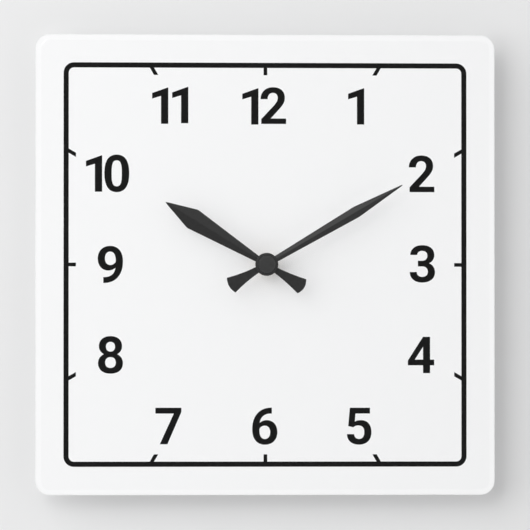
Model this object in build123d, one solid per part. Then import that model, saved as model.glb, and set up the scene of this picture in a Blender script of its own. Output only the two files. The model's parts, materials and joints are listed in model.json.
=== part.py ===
from build123d import *
import math
import os

# Square wall clock: a clear acrylic panel printed on its back face, two folded hands
# and a one-cell quartz movement clamped behind the panel by a threaded bush and nut.
#
# Everything is drawn with the hand arbor on x = 0, height = 0 and the back face of the
# panel on y = 0; the front of the clock looks towards -Y and the wall is towards +Y.
# save() then moves each piece so that the origin is the middle of the nail hole.

# ---------------------------------------------------------------- panel and print
PANEL_SIZE = 273.0
PANEL_CORNER_R = 8.5
PANEL_THICK = 6.0
PANEL_EDGE_R = 4.2
CLAMP_HOLE_R = 4.1

PRINT_BACK = 0.2          # white coat covers the back face to this depth
INK_BACK = 0.08           # black ink lies against the acrylic, under the white
BORDER_SIZE = 239.5
BORDER_LINE = 3.05
BORDER_CORNER_R = 6.2
TICK_WIDTH = 2.2
TICK_INNER = 112.4        # half size of the square the ticks reach in to
DIGIT_HEIGHT = 21.6

# ---------------------------------------------------------------- hands
HOUR_ANGLE = 301.6        # clockwise from twelve
MINUTE_ANGLE = 59.7
SHEET = 0.4
HOUR_EDGE_Y = -10.1
HOUR_RISE = 0.8
MINUTE_EDGE_Y = -12.4
MINUTE_RISE = 0.7
CAP_R = 6.8
CAP_DISC_R = 5.05
CAP_FRONT = -16.0
CAP_BACK = -13.5

# ---------------------------------------------------------------- stack on the arbor
BUSH_R = 4.0
BUSH_FRONT = -9.2
WASHER_R = 6.0
WASHER_THICK = 0.5
NUT_ACROSS_FLATS = 11.0
NUT_THICK = 2.2
HOUR_PIPE_R = 2.5
HOUR_PIPE_FRONT = -11.5
MINUTE_SHAFT_R = 1.6
MINUTE_TIP_R = 1.4
MINUTE_SHOULDER = -12.1
MINUTE_TIP_FRONT = -15.0
RUN = 0.05                # radial running clearance of every pivot

# ---------------------------------------------------------------- movement case
CASE_SIZE = 56.0
CASE_DROP = 1.0           # middle of the case below the arbor
CASE_CORNER_R = 3.0
CASE_FRONT = 1.8
CASE_FLOOR = 3.0
CASE_BACK = 17.8
CASE_WALL = 1.4
COVER_FRONT = 16.6
DIVIDER_TOP = -11.6
DIVIDER_BOTTOM = -12.6
GASKET_R = 18.0
HANGER_FRONT = 1.0
NAIL_HOLE_R = 4.0
NAIL_HOLE_UP = 38.0       # nail hole above the arbor
TAB_HALF = 12.0
TAB_FRONT = 14.2
TAB_BACK = 15.0
SHELF_LOW = 27.6
SHELF_TOP = 28.4

# ---------------------------------------------------------------- battery
CELL_R = 7.25
CELL_LENGTH = 50.5
CELL_BUTTON = 1.15
CELL_Y = 10.35
CELL_UP = -20.1
CELL_RIGHT = 26.15
BAY_R = 7.5

# ---------------------------------------------------------------- train
PRESSURE = math.radians(20)
TRAIN_MODULE = 0.2
THIRD_MODULE = 0.216
CENTRE_MODULE = 0.204
MOTION_MODULE = 0.4
HOUR_MODULE = 0.384
INTERMEDIATE_DISTANCE = 8.4
ROTOR_DISTANCE = 7.2
THIRD_DISTANCE = 11.016
MOTION_DISTANCE = 9.6
ARBOR_R = 0.6
PIVOT_R = 0.4
MID_FRONT = 7.2
MID_BACK = 8.0
BRIDGE_FRONT = 13.8
BRIDGE_BACK = 14.8


def polar(start, distance, degrees):
    """Point at a distance and bearing, counter-clockwise from +X, from another point."""
    turn = math.radians(degrees)
    return (start[0] + distance * math.cos(turn), start[1] + distance * math.sin(turn))


INTERMEDIATE_BEARING = 60.0
ROTOR_BEARING = 70.0
THIRD_BEARING = 150.0
MOTION_BEARING = -10.0
KNOB_BEARING = 35.0
CENTRE = (0.0, 0.0)
INTERMEDIATE = polar(CENTRE, INTERMEDIATE_DISTANCE, INTERMEDIATE_BEARING)
ROTOR = polar(INTERMEDIATE, ROTOR_DISTANCE, ROTOR_BEARING)
THIRD = polar(CENTRE, THIRD_DISTANCE, THIRD_BEARING)
MOTION = polar(CENTRE, MOTION_DISTANCE, MOTION_BEARING)
KNOB = polar(MOTION, MOTION_DISTANCE, KNOB_BEARING)
PILLARS = ((-13.0, -8.8), (16.5, -9.0), (15.2, 12.5), (-17.8, 14.6))
BOARD_POSTS = ((-23.9, -7.5), (-23.9, 9.5))
COIL_Y = 10.3
COIL_UP = 22.1
COIL_SCREWS = ((-15.4, COIL_UP), (15.4, COIL_UP))

TO_ORIGIN = Pos(0, -(TAB_FRONT + TAB_BACK) / 2, -NAIL_HOLE_UP)

os.makedirs("parts", exist_ok=True)


def save(name, shape):
    """Write one piece, moved so that the nail hole is at the origin."""
    export_step(TO_ORIGIN * shape, f"parts/{name}.step")


def slab(outline, y_front, y_back):
    """Solid between two depths from an outline drawn as (x, height)."""
    back_plane = Plane(origin=(0, y_back, 0), x_dir=(1, 0, 0), z_dir=(0, -1, 0))
    return extrude(back_plane * outline, amount=y_back - y_front, dir=(0, -1, 0))


def disc(at, radius):
    """Round outline at a point."""
    return Pos(at[0], at[1]) * Circle(radius)


def box_outline(left, right, low, high):
    """Rectangular outline from its four sides."""
    return Pos((left + right) / 2, (low + high) / 2) * Rectangle(right - left, high - low)


def rod(at, radius, y_front, y_back):
    """Round bar along Y."""
    return slab(disc(at, radius), y_front, y_back)


def block(left, right, y_front, y_back, low, high):
    """Square-cornered solid from its six sides."""
    return slab(box_outline(left, right, low, high), y_front, y_back)


# ---------------------------------------------------------------- panel
panel = slab(RectangleRounded(PANEL_SIZE, PANEL_SIZE, PANEL_CORNER_R), -PANEL_THICK, 0)
front_rim = panel.faces().sort_by(Axis.Y)[0].outer_wire().edges()
panel = fillet(front_rim, PANEL_EDGE_R)
panel -= rod(CENTRE, CLAMP_HOLE_R, -PANEL_THICK, 0)
save("acrylic_panel", panel)

# ---------------------------------------------------------------- digits
# Outlines in hundredths of the digit height, from the left end of the base line.
# The first pair is where the pen starts; a pair is a straight line to that point and
# six numbers are a cubic curve: two handles, then its end.
DIGITS = {
    "0": (
        ((0, 50), (0, 17, 11, -1.5, 34, -1.5), (57, -1.5, 68.5, 17, 68.5, 50),
         (68.5, 84, 57, 101.5, 34, 101.5), (11, 101.5, 0, 84, 0, 50)),
        ((20, 50), (20, 24, 23, 14.5, 34, 14.5), (45, 14.5, 48, 24, 48, 50),
         (48, 76, 45, 85.5, 34, 85.5), (23, 85.5, 20, 76, 20, 50)),
    ),
    "1": (
        ((24.5, 0), (44.5, 0), (44.5, 99.8), (42.5, 99.8), (0, 84.5), (0, 69), (24.5, 76.5)),
    ),
    "2": (
        ((2, 0), (70.5, 0), (70.5, 15), (28, 15), (49, 38), (60, 50, 67, 59, 67, 71.5),
         (67, 90, 55, 101, 34.5, 101), (13, 101, 0, 87, 0, 68), (19.5, 68),
         (19.5, 78.5, 25, 85.3, 34, 85.3), (42.5, 85.3, 47.3, 80, 47.3, 71.5),
         (47.3, 63, 42, 56, 33, 46.5), (2, 13.5)),
    ),
    "3": (
        ((22.5, 58.5), (22.5, 43), (34, 43), (44, 43, 50, 37.5, 50, 28.5),
         (50, 19.5, 44, 14.3, 34.5, 14.3), (25.5, 14.3, 19.5, 19.5, 19.5, 27.5), (0, 27.5),
         (0, 9.5, 14.5, -1.5, 34.5, -1.5), (55.5, -1.5, 69.8, 9.5, 69.8, 27),
         (69.8, 39, 63.5, 47.5, 53.5, 51.5), (62.5, 56, 68, 64, 68, 74),
         (68, 91, 55, 101.5, 34.5, 101.5), (15, 101.5, 1.5, 90.5, 1.5, 74.5), (20.8, 74.5),
         (20.8, 81.5, 26.3, 85.7, 34.5, 85.7), (43.5, 85.7, 48.5, 81, 48.5, 72.5),
         (48.5, 63.5, 43, 58.5, 33.5, 58.5)),
    ),
    "4": (
        ((42, 0), (61.5, 0), (61.5, 21.5), (72.8, 21.5), (72.8, 37.3), (61.5, 37.3),
         (61.5, 100), (42, 100), (0, 34.5), (0, 21.5), (42, 21.5)),
        ((19.5, 37.3), (42, 37.3), (42, 72.5)),
    ),
    "5": (
        ((0, 27.5), (0, 10, 13, -1.5, 33.5, -1.5), (54, -1.5, 67.5, 11.5, 67.5, 33),
         (67.5, 53.5, 56.5, 66, 38, 66), (31.5, 66, 26.5, 64.6, 21.7, 62), (23.5, 84),
         (63.5, 84), (63.5, 100), (8, 100), (3.4, 49.5), (17.5, 46.2),
         (21, 49.5, 25.5, 51.2, 31.5, 51.2), (42, 51.2, 47.7, 45, 47.7, 33.5),
         (47.7, 21.5, 42.5, 14.3, 33.5, 14.3), (25.5, 14.3, 20.5, 19, 19.5, 27.5)),
    ),
    "6": (
        ((54, 100.3), (50, 100.3), (18, 99, 0, 76, 0, 41), (0, 14.5, 13, -1.5, 35, -1.5),
         (55.5, -1.5, 69.3, 12, 69.3, 33), (69.3, 53, 57.5, 66, 40.5, 66),
         (32, 66, 25.5, 63, 20.8, 58.5), (22.5, 74, 33, 83.8, 50.5, 84), (54, 84)),
        ((20, 37), (20, 22.5, 25.5, 14.3, 35, 14.3), (44, 14.3, 49.5, 21.5, 49.5, 32.5),
         (49.5, 43.7, 44, 50.9, 35, 50.9), (28.5, 50.9, 23, 47.5, 20, 42)),
    ),
    "7": (
        ((0, 100), (71.5, 100), (71.5, 89), (33, 0), (12, 0), (50.5, 84), (0, 84)),
    ),
    "8": (
        ((34.2, -1.5), (55.5, -1.5, 68.4, 9.5, 68.4, 27.5), (68.4, 38.5, 62.5, 47.3, 52.5, 52),
         (61.3, 56.5, 66, 64.5, 66, 73.7), (66, 90.5, 54, 101.5, 34.2, 101.5),
         (14.4, 101.5, 2.4, 90.5, 2.4, 73.7), (2.4, 64.5, 7.1, 56.5, 15.9, 52),
         (5.9, 47.3, 0, 38.5, 0, 27.5), (0, 9.5, 12.9, -1.5, 34.2, -1.5)),
        ((34.2, 14.3), (25, 14.3, 19.7, 19.8, 19.7, 29.2), (19.7, 38.3, 25, 43.8, 34.2, 43.8),
         (43.4, 43.8, 48.7, 38.3, 48.7, 29.2), (48.7, 19.8, 43.4, 14.3, 34.2, 14.3)),
        ((34.2, 59), (26.5, 59, 21.8, 64, 21.8, 72.5), (21.8, 80.7, 26.5, 85.7, 34.2, 85.7),
         (41.9, 85.7, 46.6, 80.7, 46.6, 72.5), (46.6, 64, 41.9, 59, 34.2, 59)),
    ),
}
NINE_PIVOT = (34.65, 50.0)   # the nine is the six turned half round about this point

# Each digit printed: which one, its left side and its base line.
DIGITS_PRINTED = (
    ("1", -13.75, 83.1), ("2", -2.9, 83.5),
    ("1", 49.2, 83.3),
    ("2", 85.4, 43.2),
    ("3", 85.9, -10.2),
    ("4", 84.75, -64.3),
    ("5", 48.5, -106.4),
    ("6", -7.85, -106.4),
    ("7", -65.3, -106.4),
    ("8", -99.3, -64.3),
    ("9", -99.5, -10.9),
    ("1", -106.5, 43.1), ("0", -95.6, 43.2),
    ("1", -67.3, 83.4), ("1", -55.4, 83.8),
)


def closed_path(steps):
    """Face inside one closed pen path."""
    pen = steps[0]
    edges = []
    for step in steps[1:]:
        if len(step) == 2:
            edges.append(Line(pen, step))
        else:
            edges.append(Bezier(pen, step[0:2], step[2:4], step[4:6]))
        pen = step[-2:]
    if math.dist(pen, steps[0]) > 1e-6:
        edges.append(Line(pen, steps[0]))
    return make_face(Wire(edges))


def digit(which, height):
    """Outline of one digit of a height, standing on its base line."""
    share = height / 100
    if which == "9":
        pivot_x = NINE_PIVOT[0] * share
        pivot_z = NINE_PIVOT[1] * share
        half_turn = Pos(pivot_x, pivot_z) * Rot(0, 0, 180) * Pos(-pivot_x, -pivot_z)
        return half_turn * digit("6", height)
    outer, *holes = DIGITS[which]
    face = closed_path(outer)
    for hole in holes:
        face -= closed_path(hole)
    return scale(face, share)


numerals = []
for which, left, base in DIGITS_PRINTED:
    numerals += slab(Pos(left, base) * digit(which, DIGIT_HEIGHT), 0, INK_BACK).solids()

# ---------------------------------------------------------------- border and ticks
border_inner = BORDER_SIZE - 2 * BORDER_LINE
border_flat = RectangleRounded(BORDER_SIZE, BORDER_SIZE, BORDER_CORNER_R)
border_flat -= RectangleRounded(border_inner, border_inner, BORDER_CORNER_R - BORDER_LINE)
border = slab(border_flat, 0, INK_BACK)

tick_zone = Rectangle(border_inner, border_inner) - Rectangle(2 * TICK_INNER, 2 * TICK_INNER)
ticks = []
for hour in range(12):
    ray = Rot(0, 0, 30 * hour) * box_outline(TICK_INNER, 150, -TICK_WIDTH / 2, TICK_WIDTH / 2)
    ticks += slab(ray & tick_zone, 0, INK_BACK).solids()

coat = slab(RectangleRounded(PANEL_SIZE, PANEL_SIZE, PANEL_CORNER_R), 0, PRINT_BACK)
coat -= rod(CENTRE, CLAMP_HOLE_R, 0, PRINT_BACK)
coat -= border
coat -= ticks
coat -= numerals
save("dial_white_coat", coat)
save("dial_border", border)
save("dial_ticks", Compound(ticks))
save("dial_numerals", Compound(numerals))


# ---------------------------------------------------------------- hands
def folded_sheet(half_width, rise, y_edge):
    """Long sheet creased along its middle, the crease nearer the front by rise."""
    section = Polygon(
        (-half_width, y_edge),
        (0, y_edge - rise),
        (half_width, y_edge),
        (half_width, y_edge - SHEET),
        (0, y_edge - rise - SHEET),
        (-half_width, y_edge - SHEET),
        align=None,
    )
    return Pos(0, 0, -40) * extrude(section, 150, dir=(0, 0, 1))


def hand_outline(base_half, wide_half, wide_at, tip_half, tip_at, tail_half, tail_at, waist, tail_end):
    """Hand pointing up: a straight-sided blade, and a tail with hollow sides and a round end."""
    blade = Polygon(
        (-base_half, 0),
        (-wide_half, wide_at),
        (-tip_half, tip_at),
        (tip_half, tip_at),
        (wide_half, wide_at),
        (base_half, 0),
        align=None,
    )
    right = ThreePointArc((base_half, 0), (waist, -tail_at * 0.56), (tail_half, -tail_at))
    end = ThreePointArc((tail_half, -tail_at), (0, -tail_end), (-tail_half, -tail_at))
    left = ThreePointArc((-tail_half, -tail_at), (-waist, -tail_at * 0.56), (-base_half, 0))
    tail = make_face(Wire([right, end, left, Line((-base_half, 0), (base_half, 0))]))
    return blade + tail


HOUR_HUB = (-11.2, -10.6)
MINUTE_HUB = (-13.3, -12.7)
hour_flat = hand_outline(1.3, 6.3, 51.4, 0.25, 70.1, 4.95, 24.8, 2.7, 26.3)
hour_hand = slab(hour_flat, -15, -8) & folded_sheet(8, HOUR_RISE * 8 / 6.25, HOUR_EDGE_Y + 0.224)
hour_hand += rod(CENTRE, 5.2, *HOUR_HUB)
hour_hand -= rod(CENTRE, 3.6, -15, -8)
save("hour_hand", Rot(0, HOUR_ANGLE, 0) * hour_hand)
save("hour_hand_bush", rod(CENTRE, 3.6, -11.2, -9.6) - rod(CENTRE, HOUR_PIPE_R, -11.2, -9.6))

minute_flat = hand_outline(1.65, 3.45, 61.6, 0.3, 93.2, 5.1, 24.5, 2.75, 25.8)
minute_hand = slab(minute_flat, -16, -10)
minute_hand &= folded_sheet(6, MINUTE_RISE * 6 / 3.4, MINUTE_EDGE_Y + 0.535)
minute_hand += rod(CENTRE, 4.8, *MINUTE_HUB)
minute_hand -= rod(CENTRE, 3.2, -16, -10)
save("minute_hand", Rot(0, MINUTE_ANGLE, 0) * minute_hand)
minute_bush = rod(CENTRE, 3.2, -13.3, MINUTE_SHOULDER)
minute_bush -= rod(CENTRE, MINUTE_TIP_R, -13.3, MINUTE_SHOULDER)
save("minute_hand_bush", minute_bush)

cap_section = Polygon(
    (0, CAP_FRONT),
    (CAP_DISC_R - 0.3, CAP_FRONT),
    (CAP_DISC_R, CAP_FRONT + 0.3),
    (CAP_DISC_R, CAP_FRONT + 0.7),
    (CAP_DISC_R + 0.4, CAP_FRONT + 0.7),
    (CAP_R, CAP_FRONT + 1.7),
    (CAP_R, CAP_BACK),
    (0, CAP_BACK),
    align=None,
)
cap = revolve(cap_section, Axis.Y)
cap -= rod(CENTRE, MINUTE_TIP_R, MINUTE_TIP_FRONT, CAP_BACK)
save("centre_cap", cap)

# ---------------------------------------------------------------- clamp stack
washer = rod(CENTRE, WASHER_R, -PANEL_THICK - WASHER_THICK, -PANEL_THICK)
washer -= rod(CENTRE, CLAMP_HOLE_R, -PANEL_THICK - WASHER_THICK, -PANEL_THICK)
save("clamp_washer", washer)

nut_back = -PANEL_THICK - WASHER_THICK
nut_flat = RegularPolygon(NUT_ACROSS_FLATS / 2, 6, major_radius=False) - Circle(BUSH_R)
nut = slab(nut_flat, nut_back - NUT_THICK, nut_back)
nut_cone = Cone(NUT_ACROSS_FLATS / 2 + 2.2, NUT_ACROSS_FLATS / 2, 2.2)
nut &= Pos(0, nut_back - NUT_THICK + 1.1, 0) * Rot(90, 0, 0) * nut_cone
save("clamp_nut", nut)

bush = rod(CENTRE, BUSH_R, BUSH_FRONT, 2.2) + rod(CENTRE, 5.5, 2.2, CASE_FLOOR)
bush -= rod(CENTRE, HOUR_PIPE_R + RUN, BUSH_FRONT, CASE_FLOOR)
save("threaded_bush", bush)

save("rubber_gasket", rod(CENTRE, GASKET_R, PRINT_BACK, HANGER_FRONT)
     - rod(CENTRE, CLAMP_HOLE_R, PRINT_BACK, HANGER_FRONT))

# ---------------------------------------------------------------- hanger
HANGER_BACK = CASE_FRONT
clamp_flat = Pos(0, 4.0) * RectangleRounded(40, 48.4, 4) - Circle(CLAMP_HOLE_R)
hanger = slab(clamp_flat, HANGER_FRONT, HANGER_BACK)
step_points = [
    (HANGER_FRONT, 20),
    (HANGER_FRONT, SHELF_TOP),
    (TAB_FRONT, SHELF_TOP),
    (TAB_FRONT, 30),
    (TAB_BACK, 30),
    (TAB_BACK, SHELF_LOW),
    (HANGER_BACK, SHELF_LOW),
    (HANGER_BACK, 20),
]
step_flat = Polygon(*step_points, align=None)
outer_bends = [v for v in step_flat.vertices() if (round(v.X, 3), round(v.Y, 3)) in
               ((HANGER_FRONT, SHELF_TOP), (TAB_BACK, SHELF_LOW))]
step_flat = fillet(outer_bends, 1.2)
inner_bends = [v for v in step_flat.vertices() if (round(v.X, 3), round(v.Y, 3)) in
               ((TAB_FRONT, SHELF_TOP), (HANGER_BACK, SHELF_LOW))]
step_flat = fillet(inner_bends, 0.4)
side_plane = Plane(origin=(-TAB_HALF, 0, 0), x_dir=(0, 1, 0), z_dir=(1, 0, 0))
hanger += extrude(side_plane * step_flat, amount=2 * TAB_HALF, dir=(1, 0, 0))
tab_low = 29.5
tab_flat = disc((0, NAIL_HOLE_UP), TAB_HALF) & box_outline(-TAB_HALF, TAB_HALF, NAIL_HOLE_UP, 60)
tab_flat += box_outline(-TAB_HALF, TAB_HALF, tab_low, NAIL_HOLE_UP)
tab_flat -= disc((0, NAIL_HOLE_UP), NAIL_HOLE_R)
hanger += slab(tab_flat, TAB_FRONT, TAB_BACK)
# The sheet is kept as three flat pieces that meet at its bends.
fold = SHELF_LOW - 0.4
shelf = hanger & block(-TAB_HALF, TAB_HALF, HANGER_FRONT, TAB_BACK, fold, tab_low)
tab = hanger & block(-TAB_HALF, TAB_HALF, TAB_FRONT, TAB_BACK, tab_low, 60)
save("hanger_plate", hanger - shelf - tab)
save("hanger_shelf", shelf)
save("hanger_tab", tab)

# ---------------------------------------------------------------- movement case
case_flat = Pos(0, -CASE_DROP) * RectangleRounded(CASE_SIZE, CASE_SIZE, CASE_CORNER_R)
case_top = CASE_SIZE / 2 - CASE_DROP
case_low = -CASE_SIZE / 2 - CASE_DROP
half_room = CASE_SIZE / 2 - CASE_WALL
case = slab(case_flat, CASE_FRONT, CASE_BACK)
case -= block(-half_room, half_room, CASE_FLOOR, CASE_BACK, DIVIDER_TOP, case_top - CASE_WALL)
case -= block(-CASE_SIZE, CASE_SIZE, COVER_FRONT, CASE_BACK, DIVIDER_TOP - 0.5, CASE_SIZE)
bay = Pos(0, CELL_Y, CELL_UP) * Rot(0, 90, 0) * Cylinder(BAY_R, 2 * half_room)
bay += block(-half_room, half_room, CELL_Y, CASE_BACK, CELL_UP - BAY_R, CELL_UP + BAY_R)
case -= bay
case -= block(-9, 9, 12.5, CASE_BACK, case_low, CELL_UP - BAY_R)
case -= rod(CENTRE, BUSH_R, CASE_FRONT, 2.2) + rod(CENTRE, 5.5, 2.2, CASE_FLOOR)
for spot in PILLARS:
    case += rod(spot, 2.0, CASE_FLOOR, MID_FRONT) + rod(spot, 1.3, MID_FRONT, BRIDGE_FRONT)
for spot in BOARD_POSTS:
    case += rod(spot, 1.4, CASE_FLOOR, 12.0)
for spot in COIL_SCREWS:
    case += rod(spot, 1.8, CASE_FLOOR, 8.9)
    case -= rod(spot, 0.7, 5.0, 8.9)
case += rod(MOTION, 0.9, CASE_FLOOR, 5.8)
for spot in (THIRD, KNOB):
    case -= rod(spot, PIVOT_R + RUN, 2.3, CASE_FLOOR)
SLOT = 0.5
STRIP_FRONT = 10.5
STRIP_BACK = 13.5
for slot_left in (-half_room, half_room - SLOT):
    case -= block(slot_left, slot_left + SLOT, STRIP_FRONT, STRIP_BACK, DIVIDER_BOTTOM, DIVIDER_TOP)
save("movement_case", case)

# ---------------------------------------------------------------- back cover
KNOB_R = 6.0
CUP_R = 6.5
cover_flat = case_flat & box_outline(-CASE_SIZE, CASE_SIZE, DIVIDER_TOP - 0.4, CASE_SIZE)
cover = slab(cover_flat, COVER_FRONT, CASE_BACK)
cover -= rod(KNOB, CUP_R, COVER_FRONT, CASE_BACK)
cover += rod(KNOB, CUP_R + 0.8, 14.9, COVER_FRONT)
cover -= rod(KNOB, CUP_R, 15.3, COVER_FRONT)
cover -= rod(KNOB, 1.0 + RUN, 14.9, 15.3)
save("back_cover", cover)

# ---------------------------------------------------------------- train plates
mid_plate = slab(box_outline(-20, 19.2, -11.2, 16.9), MID_FRONT, MID_BACK)
mid_plate -= rod(CENTRE, 0.9, MID_FRONT, MID_BACK)
mid_plate -= rod(THIRD, 0.9, MID_FRONT, MID_BACK)
mid_plate -= rod(KNOB, 1.6, MID_FRONT, MID_BACK)
bridge_flat = Polygon(
    (-14.8, -11), (19.2, -11), (19.2, 16.9), (-20, 16.9), (-20, 12.9), (-14.8, 12.9), align=None
)
bridge = slab(bridge_flat, BRIDGE_FRONT, BRIDGE_BACK)
bridge -= rod(KNOB, 1.6, BRIDGE_FRONT, BRIDGE_BACK)
for spot in (INTERMEDIATE, ROTOR):
    mid_plate -= rod(spot, PIVOT_R + RUN, MID_FRONT, MID_BACK)
for spot in (CENTRE, THIRD, INTERMEDIATE, ROTOR):
    bridge -= rod(spot, PIVOT_R + RUN, BRIDGE_FRONT, BRIDGE_BACK)
for spot in PILLARS:
    mid_plate -= rod(spot, 1.3, MID_FRONT, MID_BACK)
save("train_plate", mid_plate)
save("train_bridge", bridge)


# ---------------------------------------------------------------- gears
def gear(teeth, module, tooth_at, addendum=0.6, dedendum=1.0, slack=0.1):
    """Involute gear outline with one tooth centred on the bearing tooth_at, in degrees."""
    pitch_r = module * teeth / 2
    base_r = pitch_r * math.cos(PRESSURE)
    tip_r = pitch_r + addendum * module
    root_r = pitch_r - dedendum * module
    half_at_base = math.pi / 2 / teeth * (1 - slack) + math.tan(PRESSURE) - PRESSURE
    flank_r = max(base_r, root_r)
    flank = []
    if root_r < base_r:
        flank.append((root_r, half_at_base))
    steps = 3 if teeth < 20 else 1
    for step in range(steps + 1):
        radius = flank_r + (tip_r - flank_r) * step / steps
        roll = math.acos(base_r / radius)
        flank.append((radius, half_at_base - math.tan(roll) + roll))
    points = []
    for tooth in range(teeth):
        middle = math.radians(tooth_at + 360 * tooth / teeth)
        for radius, half in flank:
            points.append((radius * math.cos(middle - half), radius * math.sin(middle - half)))
        for radius, half in reversed(flank):
            points.append((radius * math.cos(middle + half), radius * math.sin(middle + half)))
    return Polygon(*points, align=None)


def meshed(tooth_at, teeth, bearing, mate_teeth):
    """Bearing of a tooth of the mate, so that its gap takes this gear's tooth."""
    past = (bearing - tooth_at) / (360 / teeth)
    return bearing + 180 + (past + 0.5) * 360 / mate_teeth


def wheel(at, outline, y_front, y_back):
    """Gear between two depths on its own axis."""
    return slab(Pos(at[0], at[1]) * outline, y_front, y_back)


def arbor(at, y_front, y_back, front_pivot, back_pivot):
    """Steel arbor with a thinner pivot at each end."""
    shaft = rod(at, ARBOR_R, y_front, y_back)
    shaft += rod(at, PIVOT_R, front_pivot, y_front)
    shaft += rod(at, PIVOT_R, y_back, back_pivot)
    return shaft


# second arbor, on the centre line
second_tooth = 0.0
second = arbor(CENTRE, 7.1, 13.7, 6.1, 14.6)
second += wheel(CENTRE, gear(72, TRAIN_MODULE, second_tooth), 11.0, 11.6)
second += wheel(CENTRE, gear(12, THIRD_MODULE, 0), 8.5, 9.7)
save("second_wheel", second)

# intermediate arbor
inter_pinion_tooth = meshed(second_tooth, 72, INTERMEDIATE_BEARING, 12)
intermediate = arbor(INTERMEDIATE, 8.1, 13.7, 7.3, 14.6)
intermediate += wheel(INTERMEDIATE, gear(12, TRAIN_MODULE, inter_pinion_tooth), 10.8, 11.8)
intermediate += wheel(INTERMEDIATE, gear(60, TRAIN_MODULE, 0), 12.4, 13.0)
save("intermediate_wheel", intermediate)

# rotor
rotor_tooth = meshed(0, 60, ROTOR_BEARING, 12)
rotor = arbor(ROTOR, 8.1, 13.7, 7.3, 14.6)
rotor += wheel(ROTOR, gear(12, TRAIN_MODULE, rotor_tooth), 12.2, 13.2)
save("rotor_pinion", rotor)
save("rotor_magnet", rod(ROTOR, 2.8, 8.4, 10.4) - rod(ROTOR, ARBOR_R, 8.4, 10.4))

# third arbor
third_tooth = meshed(0, 12, THIRD_BEARING, 90)
third = arbor(THIRD, 3.1, 13.7, 2.5, 14.6)
third += wheel(THIRD, gear(90, THIRD_MODULE, third_tooth), 8.8, 9.4)
third += wheel(THIRD, gear(12, CENTRE_MODULE, 0), 5.9, 6.8)
save("third_wheel", third)

# centre wheel, slipping on the back of the minute shaft
centre_tooth = meshed(0, 12, THIRD_BEARING + 180, 96)
centre_wheel = wheel(CENTRE, gear(96, CENTRE_MODULE, centre_tooth), 6.0, 6.6)
centre_wheel += rod(CENTRE, 2.2, 5.7, 6.9)
centre_wheel -= rod(CENTRE, 1.2 + RUN, 5.7, 6.9)
save("centre_wheel", centre_wheel)

# minute shaft with the cannon pinion
cannon_tooth = 0.0
minute_shaft = rod(CENTRE, MINUTE_TIP_R, MINUTE_TIP_FRONT, MINUTE_SHOULDER)
minute_shaft += rod(CENTRE, MINUTE_SHAFT_R, MINUTE_SHOULDER, 5.5)
minute_shaft += wheel(CENTRE, gear(12, MOTION_MODULE, cannon_tooth), 4.7, 5.5)
minute_shaft += rod(CENTRE, 1.2, 5.5, 7.0)
minute_shaft -= rod(CENTRE, PIVOT_R + RUN, 6.0, 7.0)
save("minute_shaft", minute_shaft)

# motion wheel and its pinion, turning on a fixed post
motion_tooth = meshed(cannon_tooth, 12, MOTION_BEARING, 36)
motion = wheel(MOTION, gear(36, MOTION_MODULE, motion_tooth), 4.7, 5.5)
motion += wheel(MOTION, gear(10, HOUR_MODULE, 0), 3.3, 4.7)
motion -= rod(MOTION, 0.9 + RUN, 3.3, 5.5)
save("motion_wheel", motion)

# hour wheel and its pipe
hour_tooth = meshed(0, 10, MOTION_BEARING + 180, 40)
hour_wheel = wheel(CENTRE, gear(40, HOUR_MODULE, hour_tooth), 3.3, 4.3)
hour_wheel += rod(CENTRE, HOUR_PIPE_R, HOUR_PIPE_FRONT, 4.4)
hour_wheel -= rod(CENTRE, MINUTE_SHAFT_R + RUN, HOUR_PIPE_FRONT, 4.4)
save("hour_wheel", hour_wheel)

# setting knob
knob_tooth = meshed(motion_tooth, 36, KNOB_BEARING, 12)
grip = disc(KNOB, KNOB_R)
for groove in range(24):
    grip -= disc(polar(KNOB, KNOB_R + 0.25, 15 * groove), 0.55)
knob = slab(grip, 15.5, 17.6)
knob -= block(KNOB[0] - 4.4, KNOB[0] + 4.4, 16.9, 17.6, KNOB[1] - 0.6, KNOB[1] + 0.6)
knob += rod(KNOB, 1.0, 3.1, 15.5) + rod(KNOB, PIVOT_R, 2.5, 3.1)
knob += wheel(KNOB, gear(12, MOTION_MODULE, knob_tooth), 4.7, 5.5)
save("setting_knob", knob)

# ---------------------------------------------------------------- motor
stator_flat = box_outline(-17.5, 17.5, 16.4, 18.6)
stator_flat += box_outline(-17.5, -13.2, 16.4, 24)
stator_flat += box_outline(13.2, 17.5, 16.4, 24)
stator_flat += disc(ROTOR, 4.6)
stator_flat -= disc(ROTOR, 3.3)
for spot in COIL_SCREWS:
    stator_flat -= disc(spot, 0.8)
save("stator_plate", slab(stator_flat, 8.9, 9.9))

core_flat = box_outline(-17.5, 17.5, COIL_UP - 1.2, COIL_UP + 1.2)
for spot in COIL_SCREWS:
    core_flat -= disc(spot, 0.8)
save("coil_core", slab(core_flat, 9.9, 10.7))

former = block(-12.5, 12.5, COIL_Y - 0.9, COIL_Y + 0.9, COIL_UP - 1.7, COIL_UP + 1.7)
winding = Pos(0, COIL_Y, COIL_UP) * Rot(0, 90, 0) * Cylinder(3.15, 23.4)
winding -= former
for side in (-1, 1):
    flange_mid = side * 12.1
    former += block(flange_mid - 0.4, flange_mid + 0.4, COIL_Y - 3.3, COIL_Y + 3.3,
                    COIL_UP - 3.3, COIL_UP + 3.3)
former -= block(-12.5, 12.5, 9.9, 10.7, COIL_UP - 1.2, COIL_UP + 1.2)
save("coil_former", former)
save("coil_winding", winding)

screws = []
for spot in COIL_SCREWS:
    screw = rod(spot, 1.5, 10.7, 11.7) + rod(spot, 0.7, 5.2, 10.7)
    screw -= block(spot[0] - 1.2, spot[0] + 1.2, 11.3, 11.7, spot[1] - 0.2, spot[1] + 0.2)
    screws += screw.solids()
save("coil_screws", Compound(screws))

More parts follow.
